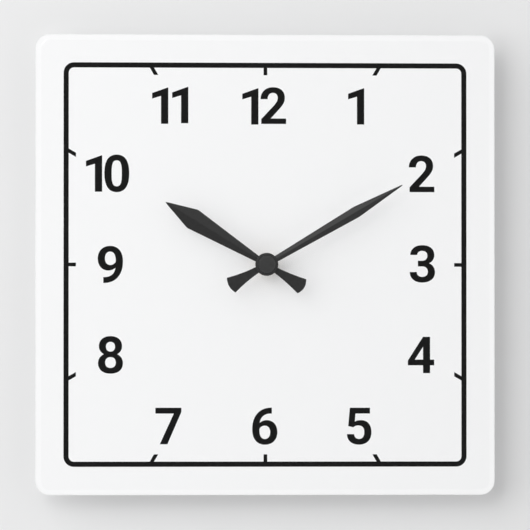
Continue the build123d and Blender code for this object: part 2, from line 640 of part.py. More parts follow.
# ---------------------------------------------------------------- circuit board
BOARD_FRONT = 12.0
BOARD_BACK = 13.0
save("circuit_board", block(-26.2, -15.0, BOARD_FRONT, BOARD_BACK, -10.5, 12.5))
chip = Pos(-21.0, BOARD_BACK, 3.0) * Rot(90, 0, 0) * Cylinder(3.0, 2.4)
chip = fillet(chip.edges(), 0.8) & block(-26, -15, BOARD_BACK, 16, -2, 8)
save("chip_cover", chip)
crystal = Pos(-16.6, BOARD_BACK + 0.95, 3.0) * Cylinder(1.0, 6.0)
crystal -= block(-20, -15, BOARD_FRONT, BOARD_BACK, -2, 8)
save("crystal_can", crystal)

# ---------------------------------------------------------------- battery and contacts
cell_left = CELL_RIGHT - CELL_LENGTH
cell_body_length = CELL_LENGTH - CELL_BUTTON
cell = Pos(cell_left + cell_body_length / 2, CELL_Y, CELL_UP) * Rot(0, 90, 0) * Cylinder(
    CELL_R, cell_body_length
)
save("battery_cell", fillet(cell.edges().filter_by(GeomType.CIRCLE), 0.7))
button_left = CELL_RIGHT - CELL_BUTTON
button = Pos(button_left + 0.15, CELL_Y, CELL_UP) * Rot(0, 90, 0) * Cylinder(4.8, 0.3)
nub = Pos(button_left + CELL_BUTTON / 2, CELL_Y, CELL_UP) * Rot(0, 90, 0) * Cylinder(2.7, CELL_BUTTON)
nub = fillet(nub.edges().filter_by(GeomType.CIRCLE).sort_by(Axis.X)[-1:], 0.4)
save("battery_button", button + nub)

minus = block(-26.6, -26.2, 6.4, 14.3, -25.0, -15.2)
minus += block(-26.6, -26.2, STRIP_FRONT, STRIP_BACK, -15.2, -9.5)
coil_pitch = 0.8
coil_turns = 2
spring_path = Helix(coil_pitch, coil_pitch * coil_turns, 3.4, cone_angle=-35)
spring_start = spring_path @ 0
spring_wire = Plane(origin=spring_start, z_dir=spring_path % 0) * Circle(0.22)
spring = sweep(spring_wire, spring_path, is_frenet=True)
spring = Pos(-26.15, CELL_Y, CELL_UP) * Rot(0, 90, 0) * spring
save("battery_contact_minus", minus + spring)

plus = block(26.2, 26.6, 6.4, 14.3, -25.0, -15.2)
plus += block(26.2, 26.6, STRIP_FRONT, STRIP_BACK, -15.2, DIVIDER_TOP + 0.4)
plus += block(-20, 26.6, STRIP_FRONT, BOARD_FRONT, DIVIDER_TOP, DIVIDER_TOP + 0.4)
plus += block(-20, -18, 11.6, BOARD_FRONT, DIVIDER_TOP, -9.5)
save("battery_contact_plus", plus)
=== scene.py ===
import json
import math

import bmesh
import bpy
from mathutils import Matrix, Vector

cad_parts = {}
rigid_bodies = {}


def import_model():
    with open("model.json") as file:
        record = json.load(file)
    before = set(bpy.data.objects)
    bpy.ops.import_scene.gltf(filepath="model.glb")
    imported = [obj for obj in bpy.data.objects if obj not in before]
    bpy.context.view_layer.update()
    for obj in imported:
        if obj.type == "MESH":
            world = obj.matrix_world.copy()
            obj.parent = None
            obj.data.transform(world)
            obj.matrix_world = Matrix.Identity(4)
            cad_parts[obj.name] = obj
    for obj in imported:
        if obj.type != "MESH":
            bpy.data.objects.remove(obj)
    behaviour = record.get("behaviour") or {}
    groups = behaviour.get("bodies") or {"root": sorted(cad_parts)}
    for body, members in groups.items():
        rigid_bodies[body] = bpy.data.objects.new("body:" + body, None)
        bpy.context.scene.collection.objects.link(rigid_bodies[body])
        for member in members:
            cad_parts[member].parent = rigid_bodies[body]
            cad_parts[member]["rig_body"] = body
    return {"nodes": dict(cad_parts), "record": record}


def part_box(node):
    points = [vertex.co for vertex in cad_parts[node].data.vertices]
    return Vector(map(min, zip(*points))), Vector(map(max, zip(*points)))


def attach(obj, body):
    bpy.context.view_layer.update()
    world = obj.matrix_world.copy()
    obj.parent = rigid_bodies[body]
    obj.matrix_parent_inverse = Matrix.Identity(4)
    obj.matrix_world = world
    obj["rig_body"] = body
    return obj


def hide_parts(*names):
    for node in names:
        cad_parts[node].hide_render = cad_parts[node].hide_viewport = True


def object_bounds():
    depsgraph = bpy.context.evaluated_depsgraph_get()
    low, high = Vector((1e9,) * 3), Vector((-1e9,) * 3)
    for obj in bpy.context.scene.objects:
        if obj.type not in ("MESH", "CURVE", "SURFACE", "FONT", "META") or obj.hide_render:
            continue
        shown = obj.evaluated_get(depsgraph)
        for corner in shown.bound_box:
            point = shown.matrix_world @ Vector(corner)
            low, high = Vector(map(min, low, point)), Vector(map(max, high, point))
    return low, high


# Looks of a square acrylic wall clock. Lengths are in metres; the front of the clock
# looks towards -Y and the wall is towards +Y.

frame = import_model()
cad_low, cad_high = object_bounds()

MM = 0.001
FULL_TURN = 2 * math.pi

# ---------------------------------------------------------------- places read from the frame
PANEL_LOW, PANEL_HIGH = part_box("acrylic_panel")
CAP_LOW, CAP_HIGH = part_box("centre_cap")
ARBOR = (CAP_LOW + CAP_HIGH) / 2          # x and z of the hand arbor
PANEL_HALF = (PANEL_HIGH.x - PANEL_LOW.x) / 2
PANEL_MIDDLE = (PANEL_LOW + PANEL_HIGH) / 2
PANEL_BACK = PANEL_HIGH.y
WALL_GAP = 0.3 * MM
WALL_Y = cad_high.y + WALL_GAP

# ---------------------------------------------------------------- fineness of the meshes
TINY = 1e-7                               # a radius below this is a point
WELD_DISTANCE = 1e-6
FLAT_ANGLE = math.radians(0.4)            # faces that turn by less are one flat face
TURNED_SEGMENTS = 96


# ---------------------------------------------------------------- materials
NOISE_LOW = 0.3                           # most noise values lie between these two
NOISE_HIGH = 0.7
BLOTCH_DETAIL = 5
GRAIN_DETAIL = 3
HAZE_DETAIL = 6
EDGE_SAMPLES = 4
COAT_ROUGHNESS = 0.1
LEAST_ROUGHNESS = 0.02

ACRYLIC_TINT = (0.985, 0.992, 0.992, 1)
ACRYLIC_IOR = 1.49
ACRYLIC_HAZE = 0.02
ACRYLIC_HAZE_SCALE = 60
PAINT_PASS = 0.75                         # share of the soft light that the hands let by


def set_inputs(node, values):
    for name, value in values.items():
        node.inputs[name].default_value = value


def add_node(tree, kind, inputs=None, **settings):
    """New shader node with its settings and fixed inputs."""
    node = tree.nodes.new(kind)
    for name, value in settings.items():
        setattr(node, name, value)
    set_inputs(node, inputs or {})
    return node


def link(tree, out_socket, in_socket):
    tree.links.new(out_socket, in_socket)


def shade(colour, factor):
    """Colour made lighter or darker, with full alpha."""
    return (*(min(1.0, part * factor) for part in colour), 1.0)


def grey(level):
    return (level, level, level)


def new_material(name):
    """Node material, with its tree and its shader."""
    material = bpy.data.materials.new(name)
    material.use_nodes = True
    return material, material.node_tree, material.node_tree.nodes["Principled BSDF"]


def noise(tree, place, scale, detail):
    """Noise value at a place."""
    texture = add_node(tree, "ShaderNodeTexNoise", {"Scale": scale, "Detail": detail})
    link(tree, place, texture.inputs["Vector"])
    return texture.outputs["Fac"]


def ramp_over(tree, value, start, end, low, high, smooth=False):
    """Value mapped from one range to another and held at its ends."""
    ramp = add_node(tree, "ShaderNodeMapRange",
                    {"From Min": start, "From Max": end, "To Min": low, "To Max": high},
                    interpolation_type="SMOOTHSTEP" if smooth else "LINEAR")
    link(tree, value, ramp.inputs["Value"])
    return ramp.outputs["Result"]


def mottled(tree, colour, blotches, mottle):
    """Colour a little darker and lighter in blotches."""
    ramp = add_node(tree, "ShaderNodeValToRGB")
    ramp.color_ramp.elements[0].position = NOISE_LOW
    ramp.color_ramp.elements[0].color = shade(colour, 1 - mottle)
    ramp.color_ramp.elements[1].position = NOISE_HIGH
    ramp.color_ramp.elements[1].color = shade(colour, 1 + mottle)
    link(tree, blotches, ramp.inputs["Fac"])
    return ramp.outputs["Color"]


def fine_normal(tree, place, soft_edge, grain, grain_scale):
    """Normal with rounded edges and a fine grain, or None where there is neither."""
    normal = None
    if soft_edge:
        edge = add_node(tree, "ShaderNodeBevel", {"Radius": soft_edge}, samples=EDGE_SAMPLES)
        normal = edge.outputs["Normal"]
    if grain:
        speckle = noise(tree, place, grain_scale, GRAIN_DETAIL)
        bump = add_node(tree, "ShaderNodeBump", {"Strength": 1.0, "Distance": grain})
        link(tree, speckle, bump.inputs["Height"])
        if normal:
            link(tree, normal, bump.inputs["Normal"])
        normal = bump.outputs["Normal"]
    return normal


def surface(name, colour, roughness, metallic=0.0, mottle=0.06, mottle_scale=180,
            rough_spread=0.06, grain=0.0, grain_scale=2500, stretch=(1, 1, 1), coat=0.0,
            soft_edge=0.0, specular=0.5):
    """Material with mottled colour, uneven gloss and a fine grain, all from noise."""
    material, tree, shader = new_material(name)
    set_inputs(shader, {"Metallic": metallic, "Specular IOR Level": specular,
                        "Coat Weight": coat, "Coat Roughness": COAT_ROUGHNESS})
    coordinates = add_node(tree, "ShaderNodeTexCoord")
    mapping = add_node(tree, "ShaderNodeMapping", {"Scale": stretch})
    link(tree, coordinates.outputs["Object"], mapping.inputs["Vector"])
    place = mapping.outputs["Vector"]

    blotches = noise(tree, place, mottle_scale, BLOTCH_DETAIL)
    link(tree, mottled(tree, colour, blotches, mottle), shader.inputs["Base Color"])
    smoothest = max(LEAST_ROUGHNESS, roughness - rough_spread)
    roughest = min(1.0, roughness + rough_spread)
    gloss = ramp_over(tree, blotches, NOISE_LOW, NOISE_HIGH, smoothest, roughest)
    link(tree, gloss, shader.inputs["Roughness"])
    normal = fine_normal(tree, place, soft_edge, grain, grain_scale)
    if normal:
        link(tree, normal, shader.inputs["Normal"])
    return material


def shadow_or_diffuse(tree):
    """One for the rays that carry soft light, none for the rest."""
    rays = add_node(tree, "ShaderNodeLightPath")
    either = add_node(tree, "ShaderNodeMath", operation="MAXIMUM")
    link(tree, rays.outputs["Is Shadow Ray"], either.inputs[0])
    link(tree, rays.outputs["Is Diffuse Ray"], either.inputs[1])
    return either.outputs["Value"]


def clear_where(tree, share):
    """Mix the material with plain transparency by a share."""
    clear = add_node(tree, "ShaderNodeBsdfTransparent")
    mix = add_node(tree, "ShaderNodeMixShader")
    link(tree, share, mix.inputs["Fac"])
    link(tree, tree.nodes["Principled BSDF"].outputs["BSDF"], mix.inputs[1])
    link(tree, clear.outputs["BSDF"], mix.inputs[2])
    link(tree, mix.outputs["Shader"], tree.nodes["Material Output"].inputs["Surface"])


def clear_acrylic(name):
    """Clear cast acrylic that lets light reach the print through it."""
    material, tree, shader = new_material(name)
    set_inputs(shader, {"Base Color": ACRYLIC_TINT, "Transmission Weight": 1.0,
                        "IOR": ACRYLIC_IOR})
    coordinates = add_node(tree, "ShaderNodeTexCoord")
    haze = noise(tree, coordinates.outputs["Object"], ACRYLIC_HAZE_SCALE, HAZE_DETAIL)
    gloss = ramp_over(tree, haze, 0, 1, 0, ACRYLIC_HAZE)
    link(tree, gloss, shader.inputs["Roughness"])
    clear_where(tree, shadow_or_diffuse(tree))
    return material


def let_light_by(material, share):
    """Let a share of the light pass, as it spreads under the hands inside the acrylic."""
    tree = material.node_tree
    part = add_node(tree, "ShaderNodeMath", {1: share}, operation="MULTIPLY")
    link(tree, shadow_or_diffuse(tree), part.inputs[0])
    clear_where(tree, part.outputs["Value"])


LOOKS = {
    "white_print": dict(colour=(0.93, 0.93, 0.935), roughness=0.6, mottle=0.004, mottle_scale=300,
                        specular=0.0, grain=0.002 * MM, grain_scale=1800),
    "black_print": dict(colour=grey(0.0115), roughness=0.5, mottle=0.12, mottle_scale=400,
                        specular=0.0, grain=0.006 * MM),
    "hand_paint": dict(colour=grey(0.024), roughness=0.34, mottle=0.1, mottle_scale=700,
                       grain=0.012 * MM, grain_scale=3500),
    "cap_paint": dict(colour=grey(0.016), roughness=0.6, mottle=0.1, mottle_scale=700,
                      grain=0.01 * MM, grain_scale=3500),
    # Same black paint as the cap's ring, with its own satin gloss, but lighter in colour: that
    # lighter colour is a painted highlight for the light the raised disc catches.
    "cap_disc_paint_and_highlight": dict(colour=grey(0.036), roughness=0.36, mottle=0.08, mottle_scale=900,
                           grain=0.006 * MM, grain_scale=3500),
    "cell_band": dict(colour=(0.5, 0.5, 0.52), roughness=0.3, metallic=0.7, grain=0.003 * MM),
    "bush_brass": dict(colour=(0.72, 0.5, 0.22), roughness=0.28, metallic=1, mottle=0.1,
                       grain=0.004 * MM, soft_edge=0.08 * MM),
    "zinc_steel": dict(colour=(0.62, 0.63, 0.64), roughness=0.32, metallic=1, mottle=0.12,
                       mottle_scale=120, rough_spread=0.1, grain=0.004 * MM),
    "gasket_rubber": dict(colour=grey(0.03), roughness=0.75, grain=0.02 * MM),
    "case_plastic": dict(colour=(0.018, 0.018, 0.019), roughness=0.48, grain=0.03 * MM,
                         grain_scale=1600, soft_edge=0.2 * MM),
    "cover_plastic": dict(colour=(0.02, 0.02, 0.021), roughness=0.5, grain=0.03 * MM,
                          grain_scale=1600, soft_edge=0.2 * MM),
    "knob_plastic": dict(colour=(0.75, 0.75, 0.72), roughness=0.42, grain=0.01 * MM),
    "plate_plastic": dict(colour=(0.72, 0.72, 0.7), roughness=0.45, grain=0.01 * MM,
                          soft_edge=0.1 * MM),
    "gear_plastic": dict(colour=(0.8, 0.78, 0.72), roughness=0.38, grain=0.006 * MM,
                         soft_edge=0.04 * MM),
    "magnet": dict(colour=(0.08, 0.08, 0.085), roughness=0.4, metallic=0.6, grain=0.02 * MM),
    "stator_steel": dict(colour=(0.5, 0.5, 0.52), roughness=0.35, metallic=1, grain=0.006 * MM),
    "copper_wire": dict(colour=(0.72, 0.28, 0.12), roughness=0.3, metallic=1,
                        stretch=(1, 0.02, 0.02), grain=0.05 * MM, grain_scale=9000),
    "board": dict(colour=(0.03, 0.16, 0.06), roughness=0.4, mottle=0.15, grain=0.01 * MM),
    "chip_resin": dict(colour=grey(0.02), roughness=0.25, grain=0.01 * MM),
    "crystal_case": dict(colour=(0.68, 0.68, 0.66), roughness=0.25, metallic=1),
    "contact_steel": dict(colour=grey(0.7), roughness=0.25, metallic=1, mottle=0.1,
                          grain=0.004 * MM, soft_edge=0.1 * MM),
    "cell_jacket": dict(colour=(0.05, 0.07, 0.1), roughness=0.3, coat=0.6, grain=0.004 * MM),
    "cell_metal": dict(colour=(0.7, 0.7, 0.71), roughness=0.22, metallic=1, grain=0.003 * MM),
}
MATERIALS = {"clear_acrylic": clear_acrylic("clear_acrylic")}
for look_name, look in LOOKS.items():
    MATERIALS[look_name] = surface(look_name, **look)
for painted in ("hand_paint", "cap_paint", "cap_disc_paint_and_highlight"):
    let_light_by(MATERIALS[painted], PAINT_PASS)

SLOT_OF = {row["node"]: row["material_slot"] for row in frame["record"]["subparts"]}
for node_name, node_object in frame["nodes"].items():
    node_object.data.materials.clear()
    node_object.data.materials.append(MATERIALS[SLOT_OF[node_name]])


# ---------------------------------------------------------------- mesh helpers
SMOOTH_BELOW = 32                         # degrees; sharper edges stay sharp


def body_of(node):
    """The CAD body that a node rides on."""
    return frame["nodes"][node]["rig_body"]


def half_width(low, high):
    """Half the size of a box along x."""
    return (high.x - low.x) / 2


def new_object(name, bm):
    """Object in the scene from a finished bmesh, which is freed."""
    mesh = bpy.data.meshes.new(name)
    bm.to_mesh(mesh)
    bm.free()
    piece = bpy.data.objects.new(name, mesh)
    bpy.context.scene.collection.objects.link(piece)
    return piece


def make_piece(name, bm, node, slot=None, sharp_angle=SMOOTH_BELOW):
    """Turn a finished bmesh into a piece that rides with a CAD node and stands for it."""
    bmesh.ops.recalc_face_normals(bm, faces=bm.faces)
    piece = new_object(name, bm)
    mesh = piece.data
    mesh.polygons.foreach_set("use_smooth", [True] * len(mesh.polygons))
    mesh.set_sharp_from_angle(angle=math.radians(sharp_angle))
    slot = slot or SLOT_OF[node]
    mesh.materials.append(MATERIALS[slot])
    weighted = piece.modifiers.new("even_normals", "WEIGHTED_NORMAL")
    weighted.keep_sharp = True
    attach(piece, body_of(node))
    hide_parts(node)
    return piece


def add_loop(bm, points):
    return [bm.verts.new(point) for point in points]


def bridge(bm, first, second):
    """Quads between two closed loops of the same length."""
    count = len(first)
    for i in range(count):
        j = (i + 1) % count
        bm.faces.new((first[i], first[j], second[j], second[i]))


def bridge_all(bm, loops):
    """Closed skin through a row of loops, from the last one back to the first."""
    for first, second in zip(loops, loops[1:] + loops[:1]):
        bridge(bm, first, second)


def ring(centre, radius, along, segments, axis="Y"):
    """Points of a circle about a line through centre, at a place along that line."""
    points = []
    for i in range(segments):
        a = FULL_TURN * i / segments
        across, up = radius * math.sin(a), radius * math.cos(a)
        if axis == "Y":
            points.append((centre.x + across, along, centre.z + up))
        else:
            points.append((along, centre.y + across, centre.z + up))
    return points


def on_circle(centre, radius, degrees):
    """Point of a circle, its angle counter-clockwise from +X."""
    a = math.radians(degrees)
    return centre[0] + radius * math.cos(a), centre[1] + radius * math.sin(a)


def arc_points(centre, radius, start, end, steps):
    """Points of an arc, angles in degrees counter-clockwise from +X."""
    return [on_circle(centre, radius, start + (end - start) * k / steps)
            for k in range(steps + 1)]


def circle_points(centre, radius, count=48):
    return arc_points(centre, radius, 0, 360 - 360 / count, count - 1)


def lathe(bm, centre, profile, segments=TURNED_SEGMENTS, closed=True, axis="Y"):
    """Surface turned about a line through centre; profile holds (radius, place along it)."""
    loops = []
    for radius, along in profile:
        if radius < TINY:
            loops.append([bm.verts.new(ring(centre, 0, along, 1, axis)[0])] * segments)
        else:
            loops.append(add_loop(bm, ring(centre, radius, along, segments, axis)))
    pairs = list(zip(loops, loops[1:]))
    if closed:
        pairs.append((loops[-1], loops[0]))
    for first, second in pairs:
        for i in range(segments):
            j = (i + 1) % segments
            corners = []
            for vert in (first[i], first[j], second[j], second[i]):
                if vert not in corners:
                    corners.append(vert)
            if len(corners) > 2:
                bm.faces.new(corners)


STRAIGHT_ANGLE = math.radians(179)        # a corner flatter than this is left alone
SIDE_SHARE = 0.49                         # the most of a side that an arc may use


def corner_arc(before, here, after, radius, steps):
    """Points of the arc that rounds one corner of a polygon."""
    to_before, to_after = before - here, after - here
    angle = to_before.angle(to_after)
    if radius <= 0 or angle > STRAIGHT_ANGLE:
        return [tuple(here)]
    reach = radius / math.tan(angle / 2)
    reach = min(reach, SIDE_SHARE * to_before.length, SIDE_SHARE * to_after.length)
    radius = reach * math.tan(angle / 2)
    inwards = (to_before.normalized() + to_after.normalized()).normalized()
    middle = here + inwards * (radius / math.sin(angle / 2))
    start = here + to_before.normalized() * reach - middle
    end = here + to_after.normalized() * reach - middle
    turn = math.copysign(start.angle(end), start.x * end.y - start.y * end.x)
    points = []
    for k in range(steps + 1):
        a = turn * k / steps
        points.append((middle.x + start.x * math.cos(a) - start.y * math.sin(a),
                       middle.y + start.x * math.sin(a) + start.y * math.cos(a)))
    return points


def rounded(points, radii, steps=4):
    """Polygon with its corners rounded; radii is one value or one for each corner."""
    count = len(points)
    if not isinstance(radii, (list, tuple)):
        radii = [radii] * count
    corners = [Vector(point) for point in points]
    result = []
    for i, here in enumerate(corners):
        result += corner_arc(corners[i - 1], here, corners[(i + 1) % count], radii[i], steps)
    return result


def bevel_sharp(bm, width, angle):
    """Round every edge sharper than the angle."""
    bmesh.ops.recalc_face_normals(bm, faces=bm.faces)
    sharp = [e for e in bm.edges if len(e.link_faces) == 2
             and e.calc_face_angle() > math.radians(angle)]
    bmesh.ops.bevel(bm, geom=sharp, offset=width, segments=2, profile=0.5,
                    affect="EDGES", clamp_overlap=True)


def turned(name, node, profile, radii):
    """Piece turned about the arbor: a closed profile of (radius, y), its corners rounded."""
    bm = bmesh.new()
    lathe(bm, ARBOR, rounded(profile, radii))
    make_piece(name, bm, node)


# ---------------------------------------------------------------- acrylic panel
PANEL_CORNER_R = 8.5 * MM
PANEL_EDGE_R = 4.2 * MM
PANEL_BACK_BEVEL = 0.15 * MM
PRINT_GRIP = 0.02 * MM                    # the acrylic reaches this far into the print
CLAMP_HOLE_R = 4.1 * MM
SIDE_STEPS = 10
CORNER_STEPS = 14
EDGE_STEPS = 12


def rounded_square(half, corner_r, y):
    """Loop round the panel with arc corners, evenly divided along its sides."""
    points = []
    straight = half - corner_r
    for quarter in range(4):
        turn = Matrix.Rotation(-quarter * math.pi / 2, 2)
        for k in range(SIDE_STEPS):
            across = -straight + 2 * straight * k / SIDE_STEPS
            points.append(turn @ Vector((across, half)))
        for k in range(CORNER_STEPS):
            a = math.pi / 2 * k / CORNER_STEPS
            points.append(turn @ Vector((straight + corner_r * math.sin(a),
                                         straight + corner_r * math.cos(a))))
    return [(PANEL_MIDDLE.x + p.x, y, PANEL_MIDDLE.z + p.y) for p in points]


def panel_profile(front, back):
    """Section of the panel's rim as (inset, y), from the rounded front edge to the back."""
    profile = []
    for k in range(EDGE_STEPS + 1):
        a = math.pi / 2 * k / EDGE_STEPS
        profile.append((PANEL_EDGE_R * (1 - math.sin(a)), front + PANEL_EDGE_R * (1 - math.cos(a))))
    return profile + [(0, back - PANEL_BACK_BEVEL), (PANEL_BACK_BEVEL, back)]


def acrylic_panel():
    """Clear slab, rounded on its front edge, whose back sinks a hair into the print."""
    front = PANEL_LOW.y
    back = PANEL_BACK + PRINT_GRIP
    bm = bmesh.new()
    loops = [add_loop(bm, rounded_square(PANEL_HALF - inset, PANEL_CORNER_R - inset, y))
             for inset, y in panel_profile(front, back)]
    for first, second in zip(loops, loops[1:]):
        bridge(bm, first, second)
    holes = []
    for y, rim in ((front, loops[0]), (back, loops[-1])):
        hole_points = []
        for vert in rim:
            away = Vector((vert.co.x - ARBOR.x, vert.co.z - ARBOR.z)).normalized() * CLAMP_HOLE_R
            hole_points.append((ARBOR.x + away.x, y, ARBOR.z + away.y))
        hole = add_loop(bm, hole_points)
        bridge(bm, rim, hole)
        holes.append(hole)
    bridge(bm, *holes)
    make_piece("panel_acrylic", bm, "acrylic_panel")


acrylic_panel()


# ---------------------------------------------------------------- hands
HOUR_ANGLE = math.radians(301.6)          # clockwise from twelve
MINUTE_ANGLE = math.radians(59.7)
SHEET = 0.4 * MM
CREASE_R = 0.12 * MM
FOLD_END = 7 * MM                         # the fold runs out this far below the arbor
BLADE_EDGE_R = 0.06 * MM
SHOULDER_EASE = 0.8 * MM                  # half the length over which the widest point is eased
TIP_ROUNDING = 0.15 * MM
TAIL_CORNER_R = 0.3 * MM
TAIL_CORNER_ROWS = (0, 0.06, 0.2, 0.45, 1)     # shares of the corner's radius
WAIST_AT = 0.56                                # share of the tail's length
HAND_COLUMNS = (0, 0.035, 0.08, 0.25, 0.5, 0.75, 0.92, 1)


def through_three(a, b, c):
    """Centre and radius of the circle through three points."""
    ax, ay = a
    bx, by = b
    cx, cy = c
    d = 2 * (ax * (by - cy) + bx * (cy - ay) + cx * (ay - by))
    ux = ((ax * ax + ay * ay) * (by - cy) + (bx * bx + by * by) * (cy - ay)
          + (cx * cx + cy * cy) * (ay - by)) / d
    uy = ((ax * ax + ay * ay) * (cx - bx) + (bx * bx + by * by) * (ax - cx)
          + (cx * cx + cy * cy) * (bx - ax)) / d
    return (ux, uy), math.dist((ux, uy), a)


class HandShape:
    """Outline of a hand that points up from its arbor. The sizes are given in millimetres."""

    def __init__(self, base_half, wide_half, wide_at, tip_half, tip_at, tail_half, tail_at,
                 waist_half, tail_end, slope):
        self.base_half = base_half * MM
        self.wide_half = wide_half * MM
        self.wide_at = wide_at * MM
        self.tip_half = tip_half * MM
        self.tip_at = tip_at * MM
        self.tail_half = tail_half * MM
        self.tail_at = tail_at * MM
        self.tail_end = tail_end * MM
        self.slope = slope
        self.side_centre, self.side_r = through_three(
            (self.base_half, 0), (waist_half * MM, -self.tail_at * WAIST_AT),
            (self.tail_half, -self.tail_at))

    def tail_width(self, down):
        """Half width of the tail at a distance below the arbor."""
        away = math.sqrt(max(0, self.side_r ** 2 - (-down - self.side_centre[1]) ** 2))
        width = self.side_centre[0] - away
        left = TAIL_CORNER_R - (self.tail_at - down)
        if left > 0:
            width -= TAIL_CORNER_R - math.sqrt(max(0, TAIL_CORNER_R ** 2 - left ** 2))
        return width

    def tail_rows(self):
        """Rows from the tail's end to the arbor: (height, half width, end bulge)."""
        near_end = [self.tail_at - share * TAIL_CORNER_R for share in TAIL_CORNER_ROWS]
        along = [self.tail_at * k / 12 for k in range(11, -1, -1)]
        bulge_most = self.tail_end - self.tail_at
        return [(-down, self.tail_width(down), bulge_most * (down / self.tail_at) ** 3)
                for down in near_end + along]

    def blade_rows(self):
        """Rows from the arbor over the widest point to the tip, in the same form."""
        rows = []
        for k in range(1, 12):
            share = k / 12
            rows.append((self.wide_at * share,
                         self.base_half + (self.wide_half - self.base_half) * share, 0))
        rise = (self.wide_half - self.base_half) / self.wide_at
        fall = (self.wide_half - self.tip_half) / (self.tip_at - self.wide_at)
        for k in range(7):
            off = SHOULDER_EASE * (k / 3 - 1)
            straight = self.wide_half - (fall * off if off > 0 else -rise * off)
            soften = (SHOULDER_EASE - abs(off)) ** 2 / (4 * SHOULDER_EASE) * (rise + fall)
            rows.append((self.wide_at + off, straight - soften, 0))
        for k in range(1, 10):
            share = k / 10
            taper = self.tip_at - self.wide_at - SHOULDER_EASE
            height = self.wide_at + SHOULDER_EASE + taper * share
            rows.append((height, self.wide_half - fall * (height - self.wide_at), 0))
        rows.append((self.tip_at - TIP_ROUNDING, self.tip_half * 0.9, 0))
        rows.append((self.tip_at, self.tip_half * 0.35, 0))
        return rows


HOUR_HAND = HandShape(base_half=1.3, wide_half=6.3, wide_at=51.4, tip_half=0.25, tip_at=70.1,
                      tail_half=4.95, tail_at=24.8, waist_half=2.7, tail_end=26.3, slope=0.128)
MINUTE_HAND = HandShape(base_half=1.65, wide_half=3.45, wide_at=61.6, tip_half=0.3, tip_at=93.2,
                        tail_half=5.1, tail_at=24.5, waist_half=2.75, tail_end=25.8, slope=0.2059)


def blade_sheet(bm, shape, crest, columns):
    """One face of a folded hand as a grid of points, rows from the tail to the tip."""
    grid = []
    for height, half, bulge in shape.tail_rows() + shape.blade_rows():
        folded = min(1, max(0, 1 + height / FOLD_END))
        fold = shape.slope * folded ** 2 * (3 - 2 * folded)
        row = []
        for share in columns:
            x = half * share
            y = crest + fold * (math.hypot(x, CREASE_R) - CREASE_R)
            z = height - bulge * (1 - share ** 2)
            row.append(bm.verts.new((x, y, z)))
        grid.append(row)
    for lower, upper in zip(grid, grid[1:]):
        for k in range(len(columns) - 1):
            bm.faces.new((lower[k], lower[k + 1], upper[k + 1], upper[k]))
    return grid


def rim_of(grid):
    """Points round the border of a grid, in order."""
    right = [row[-1] for row in grid[1:]]
    left = [row[0] for row in grid[-2:0:-1]]
    return grid[0] + right + grid[-1][-2::-1] + left


def hand_blade(name, node, shape, angle):
    """Sheet of a hand, folded along the blade and flat at the tail."""
    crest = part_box(node)[0].y
    columns = [-c for c in reversed(HAND_COLUMNS[1:])] + list(HAND_COLUMNS)
    bm = bmesh.new()
    front = blade_sheet(bm, shape, crest, columns)
    back = blade_sheet(bm, shape, crest + SHEET, columns)
    bridge(bm, rim_of(front), rim_of(back))
    bevel_sharp(bm, BLADE_EDGE_R, angle=50)
    turn = Matrix.Rotation(angle, 4, "Y")
    bmesh.ops.transform(bm, matrix=Matrix.Translation((ARBOR.x, 0, ARBOR.z)) @ turn,
                        verts=bm.verts)
    make_piece(name, bm, node, sharp_angle=40)


hand_blade("hour_hand_blade", "hour_hand", HOUR_HAND, HOUR_ANGLE)
hand_blade("minute_hand_blade", "minute_hand", MINUTE_HAND, MINUTE_ANGLE)


HUB_THICK = 0.6 * MM
HUB_WIDTH = 1.6 * MM
HUB_EDGE_R = 0.12 * MM


def hub(name, node, bush, inner_r):
    """Raised ring of a hand round its collar."""
    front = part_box(bush)[0].y
    back = front + HUB_THICK
    outer_r = inner_r + HUB_WIDTH
    turned(name, node, [(inner_r, front), (outer_r, front), (outer_r, back), (inner_r, back)],
           HUB_EDGE_R)


hub("hour_hand_hub", "hour_hand", "hour_hand_bush", 3.6 * MM)
hub("minute_hand_hub", "minute_hand", "minute_hand_bush", 3.2 * MM)


# ---------------------------------------------------------------- cap
CAP_SEGMENTS = 128
CAP_DISC_R = 5.05 * MM
CAP_DISC_THICK = 1.2 * MM
CAP_RING_R = 6.8 * MM
CAP_RING_TOP_R = 5.6 * MM
CAP_RING_SETBACK = 0.75 * MM              # the ring starts this far behind the disc
CAP_RING_CHAMFER = 0.95 * MM
CAP_SOCKET_R = 1.4 * MM
CAP_WEB = 0.4 * MM
LIP_R = 4.65 * MM
GROOVE_OUTER_R = 4.5 * MM
GROOVE_INNER_R = 4.3 * MM
GROOVE_DEPTH = 0.16 * MM
FACE_R = 4.1 * MM
FACE_DEPTH = 0.05 * MM


def cap_ring():
    """Matt bevelled ring of the cap, down to its socket on the minute shaft."""
    front = CAP_LOW.y + CAP_RING_SETBACK
    back = CAP_HIGH.y
    profile = [
        (CAP_DISC_R, front), (CAP_RING_TOP_R, front), (CAP_RING_R, front + CAP_RING_CHAMFER),
        (CAP_RING_R, back), (CAP_SOCKET_R, back), (CAP_SOCKET_R, front + CAP_WEB),
        (CAP_DISC_R, front + CAP_WEB),
    ]
    radii = [0.05 * MM, 0.15 * MM, 0.25 * MM, 0.12 * MM, 0.1 * MM, 0.05 * MM, 0.05 * MM]
    bm = bmesh.new()
    lathe(bm, ARBOR, rounded(profile, radii), CAP_SEGMENTS)
    make_piece("hand_cap_ring", bm, "centre_cap", sharp_angle=50)


